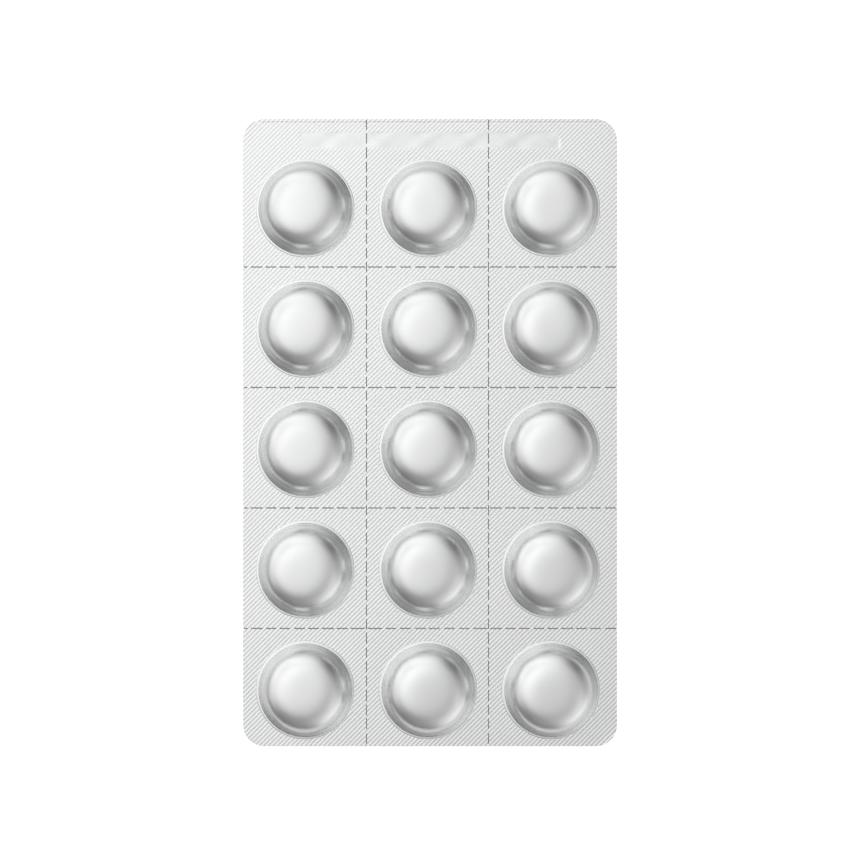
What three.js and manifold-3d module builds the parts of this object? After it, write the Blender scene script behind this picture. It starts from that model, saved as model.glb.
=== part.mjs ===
// A foil blister card: fifteen domed pockets cold-formed in a flat sealed web, with perforated
// tear lines between the pockets and a smooth strip across the head, where a date would be pressed.
// Lengths are in millimetres and +Z is up. The card lies on its lidding side at Z = 0, its long
// side runs along Y, and its head is towards +Y. The origin is under the middle of the outline.
// It is a sealed pack, so the two foils and what they hold are one solid.

import * as THREE from 'three';
import { mergeGeometries, mergeVertices } from 'three/addons/utils/BufferGeometryUtils.js';
import Module from 'manifold-3d';

const wasm = await Module();
wasm.setup();

// Pockets
const POCKET_COLUMNS = 3;
const POCKET_ROWS = 5;
const POCKET_RADIUS = 7.85; // where the foot of the wall leaves the web
const POCKET_DEPTH = 4.3; // from the web to the top of the crown
const WALL_SLOPE = 66; // degrees between the wall and the web
const FOOT_RADIUS = 0.35;
const SHOULDER_RADIUS = 4.5;
const CROWN_RADIUS = 60;

// Web: the sealed foil round the pockets
const WEB_THICKNESS = 0.25;
const COLUMN_LAND = 4.7; // web between two pockets of a row
const ROW_LAND = 4.3; // web between two pockets of a column
const SIDE_LAND = 2.75;
const FOOT_LAND = 1.45;
const HEAD_LAND = 6.95;
const CORNER_RADIUS = 3.5;
const POCKET_SHIFT_X = -0.3; // the die cut the outline this far off the pockets

// Tear lines
const SLIT_LENGTH = 1.76;
const TIE_LENGTH = 0.61; // foil left between two slits
const LONG_SLIT_WIDTH = 0.16; // on the lines along the card
const CROSS_SLIT_WIDTH = 0.2; // on the lines across it
const CROSSING_SLIT_LENGTH = 2.2; // the slit of a cross line beside a crossing
const CROSSING_CLEARANCE = 0.35; // from a crossing to the end of that slit
const FOOT_TIE = 0.3; // foil left at the foot ends of the lines along the card
const EDGE_OVERRUN = 0.3; // how far an open slit runs out past the card's edge
const TEAR_CREEP_X = 0.15; // the lines along the card stand this much closer than the pockets
const TEAR_SHIFT_X = -0.125; // the tear lines sit this far off the middle of the land
const TEAR_SHIFT_Y = 0.24;

// Smooth strip across the head
const STRIP_LENGTH = 43;
const STRIP_WIDTH = 2.7;
const STRIP_DEPTH = 0.05;
const STRIP_END_RADIUS = 0.6;
const STRIP_HEAD_MARGIN = 2.2; // from the head edge to the strip

// Fineness of the curved faces
const SEGMENTS_ROUND = 32;
const CROWN_STEPS = 1;
const SHOULDER_STEPS = 5;
const FOOT_STEPS = 1;
const CORNER_STEPS = 6;

// Worked out from the sizes above
const columnPitch = 2 * POCKET_RADIUS + COLUMN_LAND;
const rowPitch = 2 * POCKET_RADIUS + ROW_LAND;
const cardWidth = (POCKET_COLUMNS - 1) * columnPitch + 2 * (POCKET_RADIUS + SIDE_LAND);
const cardLength = (POCKET_ROWS - 1) * rowPitch + 2 * POCKET_RADIUS + FOOT_LAND + HEAD_LAND;
const firstColumnX = POCKET_SHIFT_X - ((POCKET_COLUMNS - 1) / 2) * columnPitch;
const firstRowY = -cardLength / 2 + FOOT_LAND + POCKET_RADIUS;
const slitPitch = SLIT_LENGTH + TIE_LENGTH;
const cutDepth = 3 * WEB_THICKNESS; // a through cut runs past both faces of the web

// Solids and meshes

function solidFrom(geometry) {
  const bare = geometry.clone();
  bare.deleteAttribute('normal');
  bare.deleteAttribute('uv');
  const merged = mergeVertices(bare);
  const vertProperties = new Float32Array(merged.attributes.position.array);
  const triVerts = new Uint32Array(merged.index.array);
  return new wasm.Manifold(new wasm.Mesh({ numProp: 3, vertProperties, triVerts }));
}

function geometryFrom(solid) {
  const mesh = solid.getMesh();
  const geometry = new THREE.BufferGeometry();
  geometry.setAttribute('position', new THREE.BufferAttribute(mesh.vertProperties, 3));
  geometry.setIndex(new THREE.BufferAttribute(mesh.triVerts, 1));
  geometry.computeVertexNormals();
  return geometry;
}

// Outline of a rectangle with round corners, centred on the origin
function roundedRectangle(width, length, radius) {
  const x = width / 2;
  const y = length / 2;
  const shape = new THREE.Shape();
  shape.moveTo(x, y - radius);
  shape.absarc(x - radius, y - radius, radius, 0, Math.PI / 2);
  shape.absarc(radius - x, y - radius, radius, Math.PI / 2, Math.PI);
  shape.absarc(radius - x, radius - y, radius, Math.PI, 1.5 * Math.PI);
  shape.absarc(x - radius, radius - y, radius, 1.5 * Math.PI, 2 * Math.PI);
  shape.closePath();
  return shape;
}

function plate(shape, thickness) {
  return new THREE.ExtrudeGeometry(shape, {
    depth: thickness,
    bevelEnabled: false,
    curveSegments: CORNER_STEPS,
  });
}

// Pockets

// Points of an arc, from one angle to another, both measured from straight up towards +X.
// The first point is left out when the arc carries on from an earlier one.
function arcPoints(centre, radius, from, to, steps, carriesOn) {
  const points = [];
  for (let i = carriesOn ? 1 : 0; i <= steps; i += 1) {
    const angle = from + ((to - from) * i) / steps;
    points.push(new THREE.Vector2(
      centre.x + radius * Math.sin(angle),
      centre.y + radius * Math.cos(angle),
    ));
  }
  return points;
}

// Half section of a pocket, as radius and height above the web: a wide crown arc, a shoulder arc,
// a straight wall and a foot arc that runs out flat into the web, each tangent to the next.
function pocketProfile() {
  const slope = THREE.MathUtils.degToRad(WALL_SLOPE);
  const wallNormal = new THREE.Vector2(Math.sin(slope), Math.cos(slope));
  const footCentre = new THREE.Vector2(POCKET_RADIUS, FOOT_RADIUS);
  const footEnd = footCentre.clone().addScaledVector(wallNormal, -FOOT_RADIUS);
  const crownCentre = new THREE.Vector2(0, POCKET_DEPTH - CROWN_RADIUS);
  // The shoulder's centre is one shoulder radius inside both the wall and the crown
  const reach = CROWN_RADIUS - SHOULDER_RADIUS;
  const inset = wallNormal.dot(footEnd) - SHOULDER_RADIUS - wallNormal.dot(crownCentre);
  const crownEdge = slope - Math.acos(inset / reach);
  const shoulderCentre = new THREE.Vector2(
    crownCentre.x + reach * Math.sin(crownEdge),
    crownCentre.y + reach * Math.cos(crownEdge),
  );
  return [
    ...arcPoints(crownCentre, CROWN_RADIUS, 0, crownEdge, CROWN_STEPS, false),
    ...arcPoints(shoulderCentre, SHOULDER_RADIUS, crownEdge, slope, SHOULDER_STEPS, true),
    ...arcPoints(footCentre, FOOT_RADIUS, Math.PI + slope, Math.PI, FOOT_STEPS, false),
  ];
}

function pocketSolid() {
  const middle = WEB_THICKNESS / 2;
  const section = pocketProfile().map((p) => new THREE.Vector2(p.x, p.y + WEB_THICKNESS));
  section.push(new THREE.Vector2(POCKET_RADIUS, middle));
  section.push(new THREE.Vector2(0, middle));
  section.reverse();
  section[section.length - 1].x = 0;
  const dome = new THREE.LatheGeometry(section, SEGMENTS_ROUND);
  dome.rotateX(Math.PI / 2);
  return solidFrom(dome);
}

function addPockets(web) {
  const pocket = pocketSolid();
  let card = web;
  for (let row = 0; row < POCKET_ROWS; row += 1) {
    for (let column = 0; column < POCKET_COLUMNS; column += 1) {
      const x = firstColumnX + column * columnPitch;
      const y = firstRowY + row * rowPitch;
      card = card.add(pocket.translate([x, y, 0]));
    }
  }
  return card;
}

// Tear lines

// Starts and ends of the slits on a line, from one place towards another. The first slit has a
// length of its own, and the last is cut short where the line ends.
function slitSpans(from, to, firstLength) {
  const way = Math.sign(to - from);
  const whole = Math.abs(to - from);
  const spans = [];
  let start = 0;
  let length = firstLength;
  while (start < whole) {
    const end = Math.min(start + length, whole);
    spans.push([from + way * start, from + way * end]);
    start += length + TIE_LENGTH;
    length = SLIT_LENGTH;
  }
  return spans;
}

// Slits between two crossings: a long one at each end, and ties that share what is left over
function slitSpansBetween(from, to) {
  const inner = to - from - 2 * (CROSSING_SLIT_LENGTH + TIE_LENGTH);
  const count = Math.max(1, Math.round(inner / slitPitch));
  const slits = 2 * CROSSING_SLIT_LENGTH + count * SLIT_LENGTH;
  const tie = (to - from - slits) / (count + 1);
  const spans = [[from, from + CROSSING_SLIT_LENGTH]];
  for (let i = 0; i < count; i += 1) {
    const start = from + CROSSING_SLIT_LENGTH + tie + i * (SLIT_LENGTH + tie);
    spans.push([start, start + SLIT_LENGTH]);
  }
  spans.push([to - CROSSING_SLIT_LENGTH, to]);
  return spans;
}

function slitBox(centreX, centreY, sizeX, sizeY) {
  const box = new THREE.BoxGeometry(sizeX, sizeY, cutDepth);
  box.translate(centreX, centreY, WEB_THICKNESS / 2);
  return box;
}

function longLinePlaces() {
  const lines = POCKET_COLUMNS - 1;
  const places = [];
  for (let i = 0; i < lines; i += 1) {
    const fromMiddle = (i - (lines - 1) / 2) * (columnPitch - TEAR_CREEP_X);
    places.push(POCKET_SHIFT_X + TEAR_SHIFT_X + fromMiddle);
  }
  return places;
}

function crossLinePlaces() {
  const places = [];
  for (let i = 0; i < POCKET_ROWS - 1; i += 1) {
    places.push(firstRowY + (i + 0.5) * rowPitch + TEAR_SHIFT_Y);
  }
  return places;
}

function longLineSlits(x) {
  const head = cardLength / 2 + EDGE_OVERRUN;
  const foot = -cardLength / 2 + FOOT_TIE;
  return slitSpans(head, foot, SLIT_LENGTH + EDGE_OVERRUN).map(([start, end]) => (
    slitBox(x, (start + end) / 2, LONG_SLIT_WIDTH, Math.abs(end - start))
  ));
}

function crossLineSlits(y) {
  const crossings = longLinePlaces();
  const firstCrossing = crossings[0];
  const lastCrossing = crossings[crossings.length - 1];
  const pastEdge = cardWidth / 2 + EDGE_OVERRUN;
  const spans = [
    ...slitSpans(firstCrossing - CROSSING_CLEARANCE, -pastEdge, CROSSING_SLIT_LENGTH),
    ...slitSpans(lastCrossing + CROSSING_CLEARANCE, pastEdge, SLIT_LENGTH),
  ];
  for (let i = 0; i < crossings.length - 1; i += 1) {
    const from = crossings[i] + CROSSING_CLEARANCE;
    const to = crossings[i + 1] - CROSSING_CLEARANCE;
    spans.push(...slitSpansBetween(from, to));
  }
  return spans.map(([start, end]) => (
    slitBox((start + end) / 2, y, Math.abs(end - start), CROSS_SLIT_WIDTH)
  ));
}

function tearSlits() {
  const boxes = [
    ...longLinePlaces().flatMap(longLineSlits),
    ...crossLinePlaces().flatMap(crossLineSlits),
  ];
  return solidFrom(mergeGeometries(boxes));
}

// Smooth strip

function stripRecess() {
  const recess = plate(roundedRectangle(STRIP_LENGTH, STRIP_WIDTH, STRIP_END_RADIUS), cutDepth);
  const y = cardLength / 2 - STRIP_HEAD_MARGIN - STRIP_WIDTH / 2;
  recess.translate(0, y, WEB_THICKNESS - STRIP_DEPTH);
  return solidFrom(recess);
}

// Card

function cardSolid() {
  const outline = roundedRectangle(cardWidth, cardLength, CORNER_RADIUS);
  const web = solidFrom(plate(outline, WEB_THICKNESS)).subtract(stripRecess());
  return addPockets(web).subtract(tearSlits());
}

const foil = new THREE.MeshStandardMaterial({
  name: 'foil',
  color: 0xd9dadb,
  metalness: 1,
  roughness: 0.3,
});

const card = new THREE.Mesh(geometryFrom(cardSolid()), foil);
card.name = 'blister_card';

const blisterCard = new THREE.Group();
blisterCard.name = 'sealed_blister_pack';
blisterCard.add(card);

export default blisterCard;
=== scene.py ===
"""Looks of the foil blister card: the knurled web with its tear lines, the domed pockets, and the
stage. Every surface is a formula over a grid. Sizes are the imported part's own, in metres."""

import math

import bpy
import numpy as np
from bpy.props import FloatProperty, FloatVectorProperty, IntProperty, PointerProperty
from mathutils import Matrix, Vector


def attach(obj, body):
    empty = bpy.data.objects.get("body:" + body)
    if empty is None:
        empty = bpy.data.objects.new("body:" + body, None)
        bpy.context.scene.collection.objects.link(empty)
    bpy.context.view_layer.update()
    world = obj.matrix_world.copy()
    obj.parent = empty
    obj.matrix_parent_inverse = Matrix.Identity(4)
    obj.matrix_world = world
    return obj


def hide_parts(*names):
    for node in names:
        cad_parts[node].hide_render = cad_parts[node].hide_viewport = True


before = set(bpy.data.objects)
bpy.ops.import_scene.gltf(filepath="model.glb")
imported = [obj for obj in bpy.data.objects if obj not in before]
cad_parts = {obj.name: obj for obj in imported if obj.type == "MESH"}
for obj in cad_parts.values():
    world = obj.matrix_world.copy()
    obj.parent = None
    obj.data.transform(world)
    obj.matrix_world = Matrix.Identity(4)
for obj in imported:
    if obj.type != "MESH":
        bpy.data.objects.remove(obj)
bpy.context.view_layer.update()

bl_info = {
    "name": "Blister card",
    "version": (1, 0, 0),
    "blender": (4, 5, 0),
    "location": "3D View > Sidebar > Blister card",
    "description": "Builds a foil blister card with domed pockets, a knurled seal and its stage",
    "category": "Add Mesh",
}

CAD_NODE = "blister_card"
MM = 0.001
SHARP_ANGLE = math.radians(60)

# The view: the picture's width in pixels, and how many of them show one millimetre of the card
VIEW_PIXELS = 860
PIXELS_PER_MM = 6.02

# Slow waves of the web: length in metres, heading and phase in radians, and share of the height
RIPPLE_WAVES = (
    (0.0310, 0.4, 0.3, 0.45),
    (0.0230, 1.9, 1.7, 0.30),
    (0.0171, 2.7, 4.1, 0.25),
    (0.0127, 0.9, 5.2, 0.15),
)

# Soft light: rings of patches on the dome, as elevation and reach in degrees, and the strength of
# the patch at each eighth of a turn, counted from +X towards +Y. The strengths come from a least
# squares fit to the highlights of the real card, made outside this file
SOFT_PATCHES = (
    (74, 26, (0, 0.05, 0.53, 0, 1.11, 0.14, 0, 0)),
    (56, 30, (0.31, 0, 0.56, 0.06, 0.11, 0, 0, 0.38)),
    (34, 34, (0.08, 0, 0.64, 0.88, 0.84, 0.09, 0.24, 0.5)),
    (5, 40, (0.45, 0.04, 0.32, 0.48, 0, 0.03, 0, 0.86)),
)


# Sizes and finish, one group for each thing that is built


class WebSizes(bpy.types.PropertyGroup):
    """Outline, tear lines, strip and knurl of the sealed web."""

    width: FloatProperty(
        name="Width", description="Width of the card", default=0.062, unit="LENGTH"
    )
    length: FloatProperty(
        name="Length", description="Length of the card", default=0.1041, unit="LENGTH"
    )
    thickness: FloatProperty(
        name="Thickness",
        description="Height of the smooth web",
        default=0.00025,
        unit="LENGTH",
    )
    corner: FloatProperty(
        name="Corner radius",
        description="Radius of the outline's corners",
        default=0.0035,
        unit="LENGTH",
    )
    tear_x: FloatProperty(
        name="First long tear line",
        description="Place across the card of the left tear line",
        default=-0.01055,
        unit="LENGTH",
    )
    tear_pitch: FloatProperty(
        name="Between long tear lines",
        description="From one tear line along the card to the next",
        default=0.02025,
        unit="LENGTH",
    )
    tear_y: FloatProperty(
        name="First cross tear line",
        description="Place along the card of the lowest tear line",
        default=-0.03251,
        unit="LENGTH",
    )
    slit: FloatProperty(
        name="Slit length",
        description="Length of one cut of a tear line",
        default=0.00176,
        unit="LENGTH",
    )
    tie: FloatProperty(
        name="Tie length",
        description="Foil left between two cuts",
        default=0.00061,
        unit="LENGTH",
    )
    crossing_slit: FloatProperty(
        name="Slit beside a crossing",
        description="Length of a cross line's cut beside a crossing",
        default=0.0022,
        unit="LENGTH",
    )
    crossing_gap: FloatProperty(
        name="Crossing gap",
        description="From a crossing to the end of that cut",
        default=0.00035,
        unit="LENGTH",
    )
    foot_tie: FloatProperty(
        name="Foot tie",
        description="Foil left at the foot end of the long lines",
        default=0.0003,
        unit="LENGTH",
    )
    long_slit_width: FloatProperty(
        name="Long slit width",
        description="Width of the cuts along the card",
        default=0.00016,
        unit="LENGTH",
    )
    cross_slit_width: FloatProperty(
        name="Cross slit width",
        description="Width of the cuts across the card",
        default=0.0002,
        unit="LENGTH",
    )
    strip_length: FloatProperty(
        name="Strip length",
        description="Length of the smooth strip at the head",
        default=0.043,
        unit="LENGTH",
    )
    strip_width: FloatProperty(
        name="Strip width",
        description="Width of the smooth strip",
        default=0.0027,
        unit="LENGTH",
    )
    strip_margin: FloatProperty(
        name="Strip margin",
        description="From the head edge to the strip",
        default=0.0022,
        unit="LENGTH",
    )
    strip_depth: FloatProperty(
        name="Strip depth",
        description="How far the strip lies under the web",
        default=0.000012,
        unit="LENGTH",
    )
    groove_margin: FloatProperty(
        name="Groove margin",
        description="From the head edge to the fine line inside it",
        default=0.0006,
        unit="LENGTH",
    )
    groove_depth: FloatProperty(
        name="Groove depth",
        description="Depth of the fine line at the head",
        default=0.000045,
        unit="LENGTH",
    )
    columns_per_pitch: IntProperty(
        name="Columns per pitch",
        description="Grid columns between two long tear lines",
        default=106,
        min=20,
    )
    rows_per_pitch: IntProperty(
        name="Rows per pitch",
        description="Grid rows between two cross tear lines",
        default=105,
        min=20,
    )
    samples_per_ridge: IntProperty(
        name="Samples per ridge",
        description="Grid steps in one ridge of the knurl",
        default=4,
        min=3,
    )
    ridge_height: FloatProperty(
        name="Ridge height",
        description="Half height of the main ridges",
        default=0.000012,
        unit="LENGTH",
    )
    cross_ridge_height: FloatProperty(
        name="Cross ridge height",
        description="Half height of the ridges that cross them",
        default=0.00001,
        unit="LENGTH",
    )
    ripple: FloatProperty(
        name="Ripple",
        description="Half height of the web's slow waves",
        default=0.00002,
        unit="LENGTH",
    )


class PocketSizes(bpy.types.PropertyGroup):
    """Form and places of the pockets."""

    columns: IntProperty(
        name="Columns", description="Pockets across the card", default=3, min=1
    )
    rows: IntProperty(
        name="Rows", description="Pockets along the card", default=5, min=1
    )
    pitch_x: FloatProperty(
        name="Pitch across",
        description="Between two pockets of a row",
        default=0.0204,
        unit="LENGTH",
    )
    pitch_y: FloatProperty(
        name="Pitch along",
        description="Between two pockets of a column",
        default=0.02,
        unit="LENGTH",
    )
    first_x: FloatProperty(
        name="First column",
        description="Middle of the left pockets",
        default=-0.0207,
        unit="LENGTH",
    )
    first_y: FloatProperty(
        name="First row",
        description="Middle of the lowest pockets",
        default=-0.04275,
        unit="LENGTH",
    )
    radius: FloatProperty(
        name="Radius",
        description="Radius where the foot leaves the web",
        default=0.00785,
        unit="LENGTH",
    )
    depth: FloatProperty(
        name="Depth", description="From the web to the crown", default=0.0043, unit="LENGTH"
    )
    slope: FloatProperty(
        name="Wall slope",
        description="Angle between wall and web",
        default=math.radians(70),
        unit="ROTATION",
    )
    foot: FloatProperty(
        name="Foot radius", description="Radius of the foot arc", default=0.00014, unit="LENGTH"
    )
    roundness: FloatProperty(
        name="Roundness",
        description="Share of the top's tilt that grows evenly from the middle",
        default=0.06,
    )
    squareness: FloatProperty(
        name="Squareness",
        description="Power by which the rest of the tilt grows towards the wall",
        default=4.2,
    )
    ledge: FloatProperty(
        name="Ledge",
        description="Share of the wall's slope that is lost at the fine ring above its foot",
        default=0.95,
    )
    ledge_radius: FloatProperty(
        name="Ledge radius",
        description="Radius of that ring",
        default=0.00737,
        unit="LENGTH",
    )
    ledge_width: FloatProperty(
        name="Ledge width", description="Half width of that ring", default=0.00005, unit="LENGTH"
    )
    lip: FloatProperty(
        name="Lip width",
        description="Smooth flat ring outside the foot",
        default=0.0003,
        unit="LENGTH",
    )
    swell: FloatProperty(
        name="Swell",
        description="How far the web rises towards each foot",
        default=0.000037,
        unit="LENGTH",
    )
    swell_reach: FloatProperty(
        name="Swell reach",
        description="From the foot to where the web is level again",
        default=0.00052,
        unit="LENGTH",
    )
    segments: IntProperty(
        name="Segments", description="Grid steps round a pocket", default=96, min=12
    )


class Finish(bpy.types.PropertyGroup):
    """Colour and polish of the foil, the white of the floor, and the dark colour that is painted on
    the floor as shade in the card's cuts.
    """

    foil_colour: FloatVectorProperty(
        name="Foil colour",
        description="Colour of the aluminium, as the packed part has it",
        default=(217 / 255, 218 / 255, 219 / 255),
        subtype="COLOR",
    )
    foil_metal: FloatProperty(
        name="Foil metal", description="How far the foil looks like bare metal", default=0.9
    )
    foil_roughness: FloatProperty(
        name="Foil roughness", description="How far the foil blurs what it mirrors", default=0.35
    )
    floor_colour: FloatVectorProperty(
        name="Floor colour",
        description="Colour of the floor under open sky",
        default=(0.9, 0.9, 0.9),
        subtype="COLOR",
    )
    # Painted shade: this dark colour goes into the floor's colour where ambient occlusion finds the
    # sky closed, deep in the card's cuts and in a thin line along its edges
    cut_painted_shade_colour: FloatVectorProperty(
        name="Cut colour",
        description="Colour of the floor deep in a cut",
        default=(0.02, 0.02, 0.02),
        subtype="COLOR",
    )


# Formulas


def smooth_step(low, high, value):
    """Zero up to low, one from high, and 3 t^2 - 2 t^3 of the way t between them."""
    t = np.clip((value - low) / (high - low), 0, 1)
    return t * t * (3 - 2 * t)


def pocket_centres(pocket):
    """Every pocket's middle, as an array of x and y: the first one plus whole pitches."""
    column, row = np.meshgrid(np.arange(pocket.columns), np.arange(pocket.rows))
    x = pocket.first_x + column.ravel() * pocket.pitch_x
    y = pocket.first_y + row.ravel() * pocket.pitch_y
    return np.stack([x, y], axis=1)


def ripple_height(web, x, y):
    """Slow waves of the whole web: a sum of four sines of different length and direction."""
    total = np.zeros_like(x)
    for length, heading, phase, share in RIPPLE_WAVES:
        ahead = x * math.cos(heading) + y * math.sin(heading)
        total += share * np.sin(2 * math.pi * ahead / length + phase)
    return web.ripple * total


def strip_shade(web, x, y):
    """One on the smooth strip and zero off it, with soft borders: the product of two steps of the
    distance past the strip's edges, one along it and one across it."""
    border = 0.15 * MM
    middle = web.length / 2 - web.strip_margin - web.strip_width / 2
    past_end = np.abs(x) - web.strip_length / 2
    past_side = np.abs(y - middle) - web.strip_width / 2
    return smooth_step(border, -border, past_end) * smooth_step(border, -border, past_side)


def strip_waves(x, y):
    """Soft swells of the smooth strip: a broad and a fine product of a sine of x and one of y,
    each sine with its own length in radians and its own phase."""
    broad_height, broad_x, broad_y, broad_phase = 0.02 * MM, 1.05 * MM, 0.75 * MM, 0.6
    fine_height, fine_x, fine_y, fine_phase = 0.007 * MM, 0.57 * MM, 0.5 * MM, 1.0
    broad = np.sin(x / broad_x) * np.sin(y / broad_y + broad_phase)
    fine = np.sin(x / fine_x + fine_phase) * np.sin(y / fine_y)
    return broad_height * broad + fine_height * fine


def from_pockets(pocket, x, y):
    """Distance to the middle of the nearest pocket."""
    nearest = np.full(np.shape(x), np.inf)
    for cx, cy in pocket_centres(pocket):
        nearest = np.minimum(nearest, np.hypot(x - cx, y - cy))
    return nearest


def knurl_share(web, pocket, x, y):
    """How much knurl a place has: none in a ring round each pocket, which is wider towards the
    upper left, none on the strip and none in the groove. Steps and a bell of the distances."""
    clearance, fade, shift = 0.1 * MM, 0.3 * MM, 0.15 * MM
    ring = pocket.radius + clearance
    clear = smooth_step(ring, ring + fade, from_pockets(pocket, x + shift, y - shift))
    groove = head_groove(web, y) / web.groove_depth
    return clear * (1 - strip_shade(web, x, y)) * (1 - groove)


def swell_height(pocket, distance):
    """The web's rise towards a pocket: full at the foot, and none beyond a ring round it."""
    return pocket.swell * smooth_step(pocket.radius + pocket.swell_reach, pocket.radius, distance)


def knurl_height(web, pocket, x, y):
    """Two crossing sets of ridges: a cosine of u - v and a weaker one of u + v, where u and v are
    the distances across and along the card as angles, a full turn to every few grid steps."""
    turn = 2 * math.pi / web.samples_per_ridge
    u = turn * (x - web.tear_x) * web.columns_per_pitch / web.tear_pitch
    v = turn * (y - web.tear_y) * web.rows_per_pitch / pocket.pitch_y
    return web.ridge_height * np.cos(u - v) + web.cross_ridge_height * np.cos(u + v)


def web_height(web, pocket, x, y):
    """Top face of the web: its thickness, the slow waves, the strip's recess, the rise towards the
    pockets, a step down under them, and the knurl, which is spread over the web by its share."""
    step_down, step_reach = 0.06 * MM, 0.15 * MM
    height = web.thickness + ripple_height(web, x, y) - head_groove(web, y)
    height = height - strip_shade(web, x, y) * (web.strip_depth + strip_waves(x, y))
    distance = from_pockets(pocket, x, y)
    height = height + swell_height(pocket, distance)
    ring = pocket.radius + pocket.lip
    height = height - step_down * smooth_step(ring, ring - step_reach, distance)
    return height + knurl_share(web, pocket, x, y) * knurl_height(web, pocket, x, y)


def head_groove(web, y):
    """A fine pressed line just inside the head edge: a narrow bell of the distance to it."""
    half_width = 0.07 * MM
    away = y - web.length / 2 + web.groove_margin
    return web.groove_depth * np.exp(-((away / half_width) ** 2))


def grid_lines(low, high, anchors, step, gap, extra=()):
    """Places of the grid lines along one axis: even steps counted from the first anchor, with a
    pair of lines one gap apart about each anchor, the extra ones in place of any near them, and
    the two ends."""
    same, beside, from_end = 0.1 * step, 0.45 * step, 0.4 * step
    reach = int((high - low) / step) + 2
    lines = anchors[0] + (np.arange(-reach, reach) + 0.5) * step
    for anchor in anchors:
        lines = np.where(np.abs(lines - (anchor - step / 2)) < same, anchor - gap / 2, lines)
        lines = np.where(np.abs(lines - (anchor + step / 2)) < same, anchor + gap / 2, lines)
    for place in extra:
        lines = lines[np.abs(lines - place) > beside]
    lines = np.sort(np.concatenate([lines, extra]))
    inside = lines[(lines > low + from_end) & (lines < high - from_end)]
    return np.concatenate([[low], inside, [high]])


def round_corners(web, x, y):
    """Draws a square grid's corners in to quarter circles. With u and v the shares of the way
    into the corner square, each becomes itself times the root of 1 less half the other's square."""
    r = web.corner
    u = np.clip((np.abs(x) - (web.width / 2 - r)) / r, 0, None)
    v = np.clip((np.abs(y) - (web.length / 2 - r)) / r, 0, None)
    both = (u > 0) & (v > 0)
    new_x = np.sign(x) * (web.width / 2 - r + r * u * np.sqrt(1 - v * v / 2))
    new_y = np.sign(y) * (web.length / 2 - r + r * v * np.sqrt(1 - u * u / 2))
    return np.where(both, new_x, x), np.where(both, new_y, y)


# Tear lines


def spans_along(start, end, first, slit, tie):
    """Starts and ends of the cuts from one place towards another, the first one of its own
    length, and the last cut short at the end."""
    way = math.copysign(1.0, end - start)
    whole = abs(end - start)
    spans, at, length = [], 0.0, first
    while at < whole:
        stop = min(at + length, whole)
        spans.append(sorted((start + way * at, start + way * stop)))
        at += length + tie
        length = slit
    return spans


def spans_between(start, end, outer, slit, tie):
    """Cuts between two crossings: a long one at each end, and even ties between all of them."""
    inner = end - start - 2 * (outer + tie)
    count = max(1, round(inner / (slit + tie)))
    even = (end - start - 2 * outer - count * slit) / (count + 1)
    first = start + outer + even
    cuts = [(first + i * (slit + even), first + i * (slit + even) + slit) for i in range(count)]
    return [(start, start + outer), *cuts, (end - outer, end)]


def long_spans(web):
    """Cuts of a line along the card, open at the head and tied at the foot."""
    head, foot = web.length / 2, -web.length / 2 + web.foot_tie
    return spans_along(head, foot, web.slit, web.slit, web.tie)


def cross_spans(web, crossings):
    """Cuts of a line across the card, which stop short of the crossings and open at the edges."""
    gap, edge = web.crossing_gap, web.width / 2
    left = spans_along(crossings[0] - gap, -edge, web.crossing_slit, web.slit, web.tie)
    right = spans_along(crossings[-1] + gap, edge, web.slit, web.slit, web.tie)
    between = [
        span
        for a, b in zip(crossings[:-1], crossings[1:])
        for span in spans_between(a + gap, b - gap, web.crossing_slit, web.slit, web.tie)
    ]
    return left + between + right


def covered(middles, spans):
    """Which places lie in any of the spans."""
    starts = np.array([s[0] for s in spans])
    ends = np.array([s[1] for s in spans])
    return ((middles[:, None] > starts) & (middles[:, None] < ends)).any(axis=1)


# Meshes


def new_object(name, vertices, triangles):
    """A mesh object at the origin, in the scene, smooth, with edges over one angle kept sharp."""
    mesh = bpy.data.meshes.new(name)
    mesh.vertices.add(len(vertices))
    mesh.vertices.foreach_set("co", vertices.astype(np.float32).ravel())
    mesh.loops.add(3 * len(triangles))
    mesh.loops.foreach_set("vertex_index", triangles.astype(np.int32).ravel())
    mesh.polygons.add(len(triangles))
    mesh.polygons.foreach_set("loop_start", np.arange(0, 3 * len(triangles), 3, dtype=np.int32))
    mesh.update(calc_edges=True)
    mesh.validate()
    mesh.shade_smooth()
    mesh.set_sharp_from_angle(angle=SHARP_ANGLE)
    made = bpy.data.objects.new(name, mesh)
    bpy.context.scene.collection.objects.link(made)
    return made


def quads_to_triangles(a, b, c, d):
    """Two triangles for each four-cornered face, split from its first to its third corner."""
    a, b, c, d = (np.asarray(k).ravel() for k in (a, b, c, d))
    return np.concatenate([np.stack([a, b, c], 1), np.stack([a, c, d], 1)])


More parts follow.
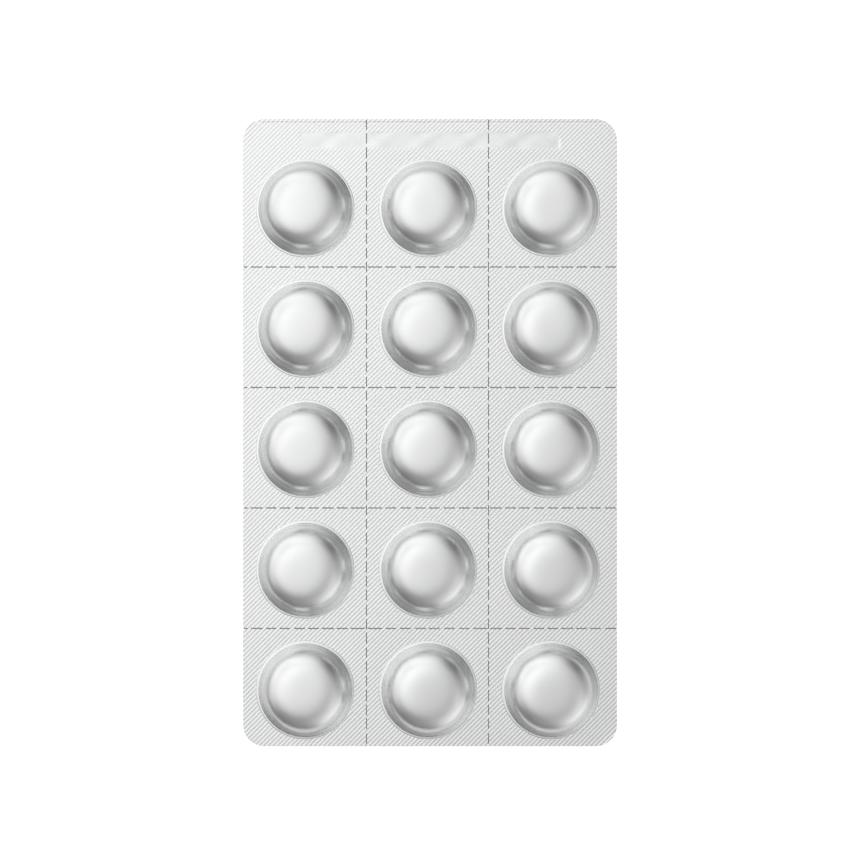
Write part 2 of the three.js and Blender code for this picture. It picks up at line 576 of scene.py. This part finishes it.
def closed_slab(top, bottom, kept):
    """Vertices and triangles of a slab over a grid. top and bottom are grids of points, and kept
    says which cells are solid. Walls stand along every border between a solid cell and none."""
    nx, ny = top.shape[:2]
    index = np.arange(nx * ny).reshape(nx, ny)
    under = index + nx * ny
    i, j = np.nonzero(kept)
    corner = (index[i, j], index[i + 1, j], index[i + 1, j + 1], index[i, j + 1])
    low = (under[i, j], under[i, j + 1], under[i + 1, j + 1], under[i + 1, j])
    faces = [quads_to_triangles(*corner), quads_to_triangles(*low)]
    padded = np.pad(kept, 1)
    walls = (
        (padded[i, j + 1], index[i, j + 1], index[i, j]),
        (padded[i + 2, j + 1], index[i + 1, j], index[i + 1, j + 1]),
        (padded[i + 1, j], index[i, j], index[i + 1, j]),
        (padded[i + 1, j + 2], index[i + 1, j + 1], index[i, j + 1]),
    )
    for neighbour, start, end in walls:
        free = ~neighbour
        s, e = start[free], end[free]
        faces.append(quads_to_triangles(s, s + nx * ny, e + nx * ny, e))
    triangles = np.concatenate(faces)
    vertices = np.concatenate([top.reshape(-1, 3), bottom.reshape(-1, 3)])
    used = np.unique(triangles)
    renumber = np.zeros(len(vertices), dtype=np.int64)
    renumber[used] = np.arange(len(used))
    return vertices[used], renumber[triangles]


def web_grid(web, pocket):
    """The whole web as grids of top and bottom points, which cells are solid, and the rows where
    one band of pockets ends and the next begins. The bottom is the knurl's relief, raised by the
    most that its ridges can dip."""
    crossings = [web.tear_x + i * web.tear_pitch for i in range(pocket.columns - 1)]
    levels = [web.tear_y + i * pocket.pitch_y for i in range(pocket.rows - 1)]
    step_x = web.tear_pitch / web.columns_per_pitch
    step_y = pocket.pitch_y / web.rows_per_pitch
    half_x, half_y = web.width / 2, web.length / 2
    lines_x = grid_lines(-half_x, half_x, crossings, step_x, web.long_slit_width)
    groove_side = 0.13 * MM
    groove = half_y - web.groove_margin + np.array([-groove_side, 0, groove_side])
    lines_y = grid_lines(-half_y, half_y, levels, step_y, web.cross_slit_width, groove)
    kept = np.ones((len(lines_x) - 1, len(lines_y) - 1), dtype=bool)
    middle_x = (lines_x[1:] + lines_x[:-1]) / 2
    middle_y = (lines_y[1:] + lines_y[:-1]) / 2
    cut_rows = covered(middle_y, long_spans(web))
    cut_columns = covered(middle_x, cross_spans(web, crossings))
    for place in crossings:
        kept[np.argmin(np.abs(middle_x - place)), cut_rows] = False
    borders = [int(np.argmin(np.abs(middle_y - place))) for place in levels]
    for row in borders:
        kept[cut_columns, row] = False
    x, y = np.meshgrid(lines_x, lines_y, indexing="ij")
    x, y = round_corners(web, x, y)
    relief = knurl_share(web, pocket, x, y) * knurl_height(web, pocket, x, y)
    deepest = web.ridge_height + web.cross_ridge_height
    top = np.stack([x, y, web_height(web, pocket, x, y)], axis=2)
    bottom = np.stack([x, y, np.maximum(relief + deepest, 0)], axis=2)
    return top, bottom, kept, [0, *borders, len(middle_y)]


def pocket_profile(pocket):
    """Half section of a pocket as radius and height above the web. The top tilts by a small share
    of t and the rest of t to a power, where t runs from 0 at the middle to 1 at the wall. The
    wall has one slope, which a bell makes gentler at the ledge. The foot is an arc with a flat
    lip round it. Heights are sums of the slopes."""
    top_points, wall_points, foot_points = 30, 26, 6
    crowding = 0.7  # under one, the points of the top lie closer together towards the wall
    lip_shares = (0.33, 0.67, 1)
    steep = math.tan(pocket.slope)
    foot_centre = np.array([pocket.radius, pocket.foot])
    wall_normal = np.array([math.sin(pocket.slope), math.cos(pocket.slope)])
    foot_start = foot_centre - pocket.foot * wall_normal

    def fall(radius, slope):
        steps = (slope[1:] + slope[:-1]) / 2 * np.diff(radius)
        return np.concatenate([[0], np.cumsum(steps)])

    t = np.linspace(0, 1, top_points) ** crowding
    tilt = pocket.slope * (pocket.roundness * t + (1 - pocket.roundness) * t**pocket.squareness)
    top_fall = fall(t, np.tan(tilt))
    saved = pocket.ledge * steep * pocket.ledge_width * math.sqrt(math.pi)
    drop = pocket.depth - foot_start[1]
    wall_top = (foot_start[0] * steep - saved - drop) / (steep - top_fall[-1])
    top = np.stack([wall_top * t, pocket.depth - wall_top * top_fall], axis=1)
    radius = np.linspace(wall_top, foot_start[0], wall_points)
    bell = np.exp(-(((radius - pocket.ledge_radius) / pocket.ledge_width) ** 2))
    height = top[-1, 1] - fall(radius, steep * (1 - pocket.ledge * bell))
    wall = np.stack([radius, height], axis=1)[1:-1]
    angle = np.linspace(math.pi + pocket.slope, math.pi, foot_points)
    foot = foot_centre + pocket.foot * np.stack([np.sin(angle), np.cos(angle)], axis=1)
    lip = np.array([[pocket.radius + share * pocket.lip, 0] for share in lip_shares])
    return np.concatenate([top, wall, foot, lip])


def pocket_surfaces(web, pocket):
    """Vertices and triangles of all the pockets. Each is its profile turned about its middle,
    lowered by a few faint dents, and closed by a wall and a disc inside the web. The lip and the
    foot lie a little above the web and follow its waves."""
    lift, foot_height, tuck_out = 0.004 * MM, 0.2 * MM, 0.1 * MM
    profile = pocket_profile(pocket)
    radius, height = profile[1:, 0], profile[1:, 1]
    turn = np.linspace(0, 2 * math.pi, pocket.segments, endpoint=False)
    centres = pocket_centres(pocket)
    ring_x = radius[:, None] * np.cos(turn)
    ring_y = radius[:, None] * np.sin(turn)
    x = centres[:, 0, None, None] + ring_x
    y = centres[:, 1, None, None] + ring_y
    waves = ripple_height(web, x, y) + swell_height(pocket, radius)[:, None]
    z = web.thickness + lift + waves * (height < foot_height)[:, None]
    z = z + (height - lift * (height > foot_height))[:, None]
    z = z - dents(pocket, ring_x, ring_y, height)
    tuck = np.stack([x[:, -1], y[:, -1], np.full_like(x[:, -1], web.thickness / 2)], axis=2)
    out = 1.0 + tuck_out / radius[-1]
    tuck[..., :2] = centres[:, None] + (tuck[..., :2] - centres[:, None]) * out
    rings = np.concatenate([np.stack([x, y, z], axis=3), tuck[:, None]], axis=1)
    count, rows, segments = rings.shape[:3]
    index = np.arange(count * rows * segments).reshape(count, rows, segments)
    after = np.roll(index, -1, axis=2)
    faces = [quads_to_triangles(index[:, 1:], after[:, 1:], after[:, :-1], index[:, :-1])]
    top_middle = count * rows * segments + np.arange(count)[:, None]
    low_middle = top_middle + count
    top_middle = np.broadcast_to(top_middle, (count, segments)).ravel()
    low_middle = np.broadcast_to(low_middle, (count, segments)).ravel()
    faces.append(np.stack([top_middle, index[:, 0].ravel(), after[:, 0].ravel()], axis=1))
    faces.append(np.stack([low_middle, after[:, -1].ravel(), index[:, -1].ravel()], axis=1))
    crown = z[:, 0].mean(axis=1)
    inside = np.full(count, web.thickness / 2)
    middles = [np.column_stack([centres, crown]), np.column_stack([centres, inside])]
    vertices = np.concatenate([rings.reshape(-1, 3), *middles])
    return vertices, np.concatenate(faces)


def dents(pocket, ring_x, ring_y, height):
    """Faint dents of each pocket's top, as depths of zero or more: a few wide bells at random
    places on the crown, faded out down the wall by the height."""
    dents_each, off_middle = 3, 0.6
    depths_mm, spreads_mm = (0.01, 0.05), (1.6, 3.2)
    fade_from, fade_to = 0.4, 0.8
    chance = np.random.default_rng(7)
    count = pocket.columns * pocket.rows
    total = np.zeros((count, *ring_x.shape))
    for _ in range(dents_each):
        place = chance.uniform(-off_middle, off_middle, (count, 2, 1, 1)) * pocket.radius
        depth = chance.uniform(*depths_mm, (count, 1, 1)) * MM
        spread = chance.uniform(*spreads_mm, (count, 1, 1)) * MM
        away = (ring_x - place[:, 0]) ** 2 + (ring_y - place[:, 1]) ** 2
        total += depth * np.exp(-away / (2 * spread**2))
    return total * smooth_step(fade_from, fade_to, height / pocket.depth)[:, None]


# Materials


def add_node(tree, kind, **values):
    """A node of one kind, with its settings given by name."""
    node = tree.nodes.new(kind)
    for name, value in values.items():
        setattr(node, name, value)
    return node


def foil_material(finish):
    """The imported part's own foil, with an even colour and polish that the panel's values give."""
    material = bpy.data.materials["foil"]
    shader = material.node_tree.nodes["Principled BSDF"]
    shader.inputs["Base Color"].default_value = (*finish.foil_colour, 1)
    shader.inputs["Metallic"].default_value = finish.foil_metal
    shader.inputs["Roughness"].default_value = finish.foil_roughness
    return material


def floor_material(finish):
    """White floor. Part of its white is its own glow, which the eye sees in full and the metal in
    part. The rest is light that the card can shade. Both fade in the card's slits and in a thin
    line along its edges, by how open the sky is over a short reach: there the floor's colour turns
    to the dark cut colour and its glow is dimmed, which is painted shade."""
    # Reach and limits of the painted shade in the cuts and along the card's edges
    slit_reach, closed, open_wide, left_in_slit = 0.35 * MM, 0.4, 0.7, 0.14
    glow_strength, share_in_metal = 0.6, 0.15
    material = bpy.data.materials.new("floor_white")
    material.use_nodes = True
    tree = material.node_tree
    shader = tree.nodes["Principled BSDF"]
    shader.inputs["Roughness"].default_value = 1.0
    shader.inputs["Specular IOR Level"].default_value = 0.0
    shader.inputs["Emission Color"].default_value = (1, 1, 1, 1)
    rays = add_node(tree, "ShaderNodeLightPath")
    # Painted shade: ambient occlusion over a short reach dims the floor's glow and darkens its
    # colour in the cuts and along the card's edges
    shade = add_node(tree, "ShaderNodeAmbientOcclusion", samples=16)
    shade.inputs["Distance"].default_value = slit_reach
    open_sky = ramp(tree, shade.outputs["AO"], closed, open_wide, least=left_in_slit)
    direct = seen_directly(tree, rays)
    mirrored = ramp(tree, rays.outputs["Is Glossy Ray"], 0.0, 1.0, share_in_metal)
    seen = ramp(tree, combine(tree, "MAXIMUM", direct, mirrored), 0.0, 1.0, glow_strength)
    glow = combine(tree, "MULTIPLY", seen, open_sky)
    # Painted shade: the floor's white turns to the dark cut colour where the sky is closed
    white = add_node(tree, "ShaderNodeMix", data_type="RGBA")
    white.inputs["A"].default_value = (*finish.cut_painted_shade_colour, 1)
    white.inputs["B"].default_value = (*finish.floor_colour, 1)
    tree.links.new(open_sky, white.inputs["Factor"])
    tree.links.new(white.outputs["Result"], shader.inputs["Base Color"])
    tree.links.new(glow, shader.inputs["Emission Strength"])
    return material


def ramp(tree, source, start, end, strength=1.0, smooth=False, least=0.0):
    """A value that rises from least where the source is at start to strength where it is at end."""
    node = add_node(tree, "ShaderNodeMapRange")
    node.interpolation_type = "SMOOTHSTEP" if smooth else "LINEAR"
    node.inputs["From Min"].default_value = start
    node.inputs["From Max"].default_value = end
    node.inputs["To Min"].default_value = least
    node.inputs["To Max"].default_value = strength
    tree.links.new(source, node.inputs["Value"])
    return node.outputs["Result"]


def combine(tree, operation, first, second):
    """The sum, the product or another operation of two values."""
    node = add_node(tree, "ShaderNodeMath", operation=operation)
    tree.links.new(first, node.inputs[0])
    tree.links.new(second, node.inputs[1])
    return node.outputs[0]


def seen_directly(tree, rays):
    """One for a ray from the eye, also through a clear thing, and zero for any other."""
    from_eye, through_clear = rays.outputs["Is Camera Ray"], rays.outputs["Is Transmission Ray"]
    return combine(tree, "MAXIMUM", from_eye, through_clear)


def cosine_to(tree, ray, azimuth, elevation):
    """How far a ray points towards a place on the dome, as the cosine between them."""
    a, e = math.radians(azimuth), math.radians(elevation)
    node = add_node(tree, "ShaderNodeVectorMath", operation="DOT_PRODUCT")
    node.inputs[1].default_value = (
        math.cos(e) * math.cos(a),
        math.cos(e) * math.sin(a),
        math.sin(e),
    )
    tree.links.new(ray, node.inputs[0])
    return node.outputs["Value"]


def studio_world():
    """Soft studio light: the sum of soft patches on the dome. A patch is full at its middle and
    fades to nothing at its reach. The eye sees white behind everything."""
    world = bpy.data.worlds.new("studio")
    bpy.context.scene.world = world
    world.use_nodes = True
    tree = world.node_tree
    background = tree.nodes["Background"]
    background.inputs["Color"].default_value = (1, 1, 1, 1)
    ray = add_node(tree, "ShaderNodeTexCoord").outputs["Generated"]
    rays = add_node(tree, "ShaderNodeLightPath")
    seen = seen_directly(tree, rays)
    core = 2  # degrees from a patch's middle over which it is full
    full = math.cos(math.radians(core))
    patches = []
    for elevation, reach, strengths in SOFT_PATCHES:
        faded = math.cos(math.radians(reach))
        for place, strength in enumerate(strengths):
            if strength > 0:
                towards = cosine_to(tree, ray, 360 / len(strengths) * place, elevation)
                patches.append(ramp(tree, towards, faded, full, strength, smooth=True))
    total = patches[0]
    for patch in patches[1:]:
        total = combine(tree, "ADD", total, patch)
    tree.links.new(combine(tree, "MAXIMUM", total, seen), background.inputs["Strength"])


# Operators


def card_piece(made, material):
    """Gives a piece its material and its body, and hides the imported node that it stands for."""
    made.data.materials.append(material)
    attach(made, "root")
    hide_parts(CAD_NODE)


class BLISTER_OT_web(bpy.types.Operator):
    """Build the knurled web with its tear lines, as one slab for each row of pockets"""

    bl_idname = "blister.web"
    bl_label = "Build web"

    def execute(self, context):
        web, pocket = context.scene.blister_web, context.scene.blister_pocket
        foil = foil_material(context.scene.blister_finish)
        top, bottom, kept, borders = web_grid(web, pocket)
        for number, (low, high) in enumerate(zip(borders[:-1], borders[1:]), start=1):
            rows = slice(low, high + 1)
            slab = closed_slab(top[:, rows], bottom[:, rows], kept[:, low:high])
            card_piece(new_object(f"web_row_{number}", *slab), foil)
        return {"FINISHED"}


class BLISTER_OT_pockets(bpy.types.Operator):
    """Build the domed pockets"""

    bl_idname = "blister.pockets"
    bl_label = "Build pockets"

    def execute(self, context):
        web, pocket = context.scene.blister_web, context.scene.blister_pocket
        foil = foil_material(context.scene.blister_finish)
        card_piece(new_object("pockets", *pocket_surfaces(web, pocket)), foil)
        return {"FINISHED"}


class BLISTER_OT_stage(bpy.types.Operator):
    """Build the floor, the light and the camera"""

    bl_idname = "blister.stage"
    bl_label = "Build stage"

    def execute(self, context):
        scene = context.scene
        half = 3.0  # metres from the floor's middle to its edges
        corners = [(-half, -half, 0), (half, -half, 0), (half, half, 0), (-half, half, 0)]
        mesh = bpy.data.meshes.new("floor")
        mesh.from_pydata(corners, [], [(0, 1, 2, 3)])
        floor = bpy.data.objects.new("floor", mesh)
        scene.collection.objects.link(floor)
        mesh.materials.append(floor_material(scene.blister_finish))
        studio_world()
        lens = bpy.data.cameras.new("camera")
        camera = bpy.data.objects.new("camera", lens)
        scene.collection.objects.link(camera)
        distance, view_width = 0.45, VIEW_PIXELS / PIXELS_PER_MM * MM
        aim_x, aim_y = -0.01 * MM, 0.434 * MM
        lens.sensor_width = 36
        lens.lens = lens.sensor_width * distance / view_width
        lens.clip_start, lens.clip_end = 0.01, 20
        camera.location = Vector((aim_x, aim_y, distance))
        scene.camera = camera
        scene.view_settings.view_transform = "Standard"
        return {"FINISHED"}


class BLISTER_PT_panel(bpy.types.Panel):
    """Sidebar panel with the sizes, the finish and the build buttons"""

    bl_idname = "BLISTER_PT_panel"
    bl_label = "Blister card"
    bl_space_type = "VIEW_3D"
    bl_region_type = "UI"
    bl_category = "Blister card"

    def draw(self, context):
        groups = (
            ("blister_web", "blister.web"),
            ("blister_pocket", "blister.pockets"),
            ("blister_finish", "blister.stage"),
        )
        for group, button in groups:
            box = self.layout.box()
            values = getattr(context.scene, group)
            for name in values.bl_rna.properties.keys():
                if name not in {"rna_type", "name"}:
                    box.prop(values, name)
            box.operator(button)


CLASSES = (
    WebSizes,
    PocketSizes,
    Finish,
    BLISTER_OT_web,
    BLISTER_OT_pockets,
    BLISTER_OT_stage,
    BLISTER_PT_panel,
)


def register():
    for item in CLASSES:
        bpy.utils.register_class(item)
    bpy.types.Scene.blister_web = PointerProperty(type=WebSizes)
    bpy.types.Scene.blister_pocket = PointerProperty(type=PocketSizes)
    bpy.types.Scene.blister_finish = PointerProperty(type=Finish)


def unregister():
    del bpy.types.Scene.blister_finish
    del bpy.types.Scene.blister_pocket
    del bpy.types.Scene.blister_web
    for item in reversed(CLASSES):
        bpy.utils.unregister_class(item)


def main():
    """Builds everything."""
    register()
    bpy.ops.blister.web()
    bpy.ops.blister.pockets()
    bpy.ops.blister.stage()


if __name__ == "__main__":
    main()
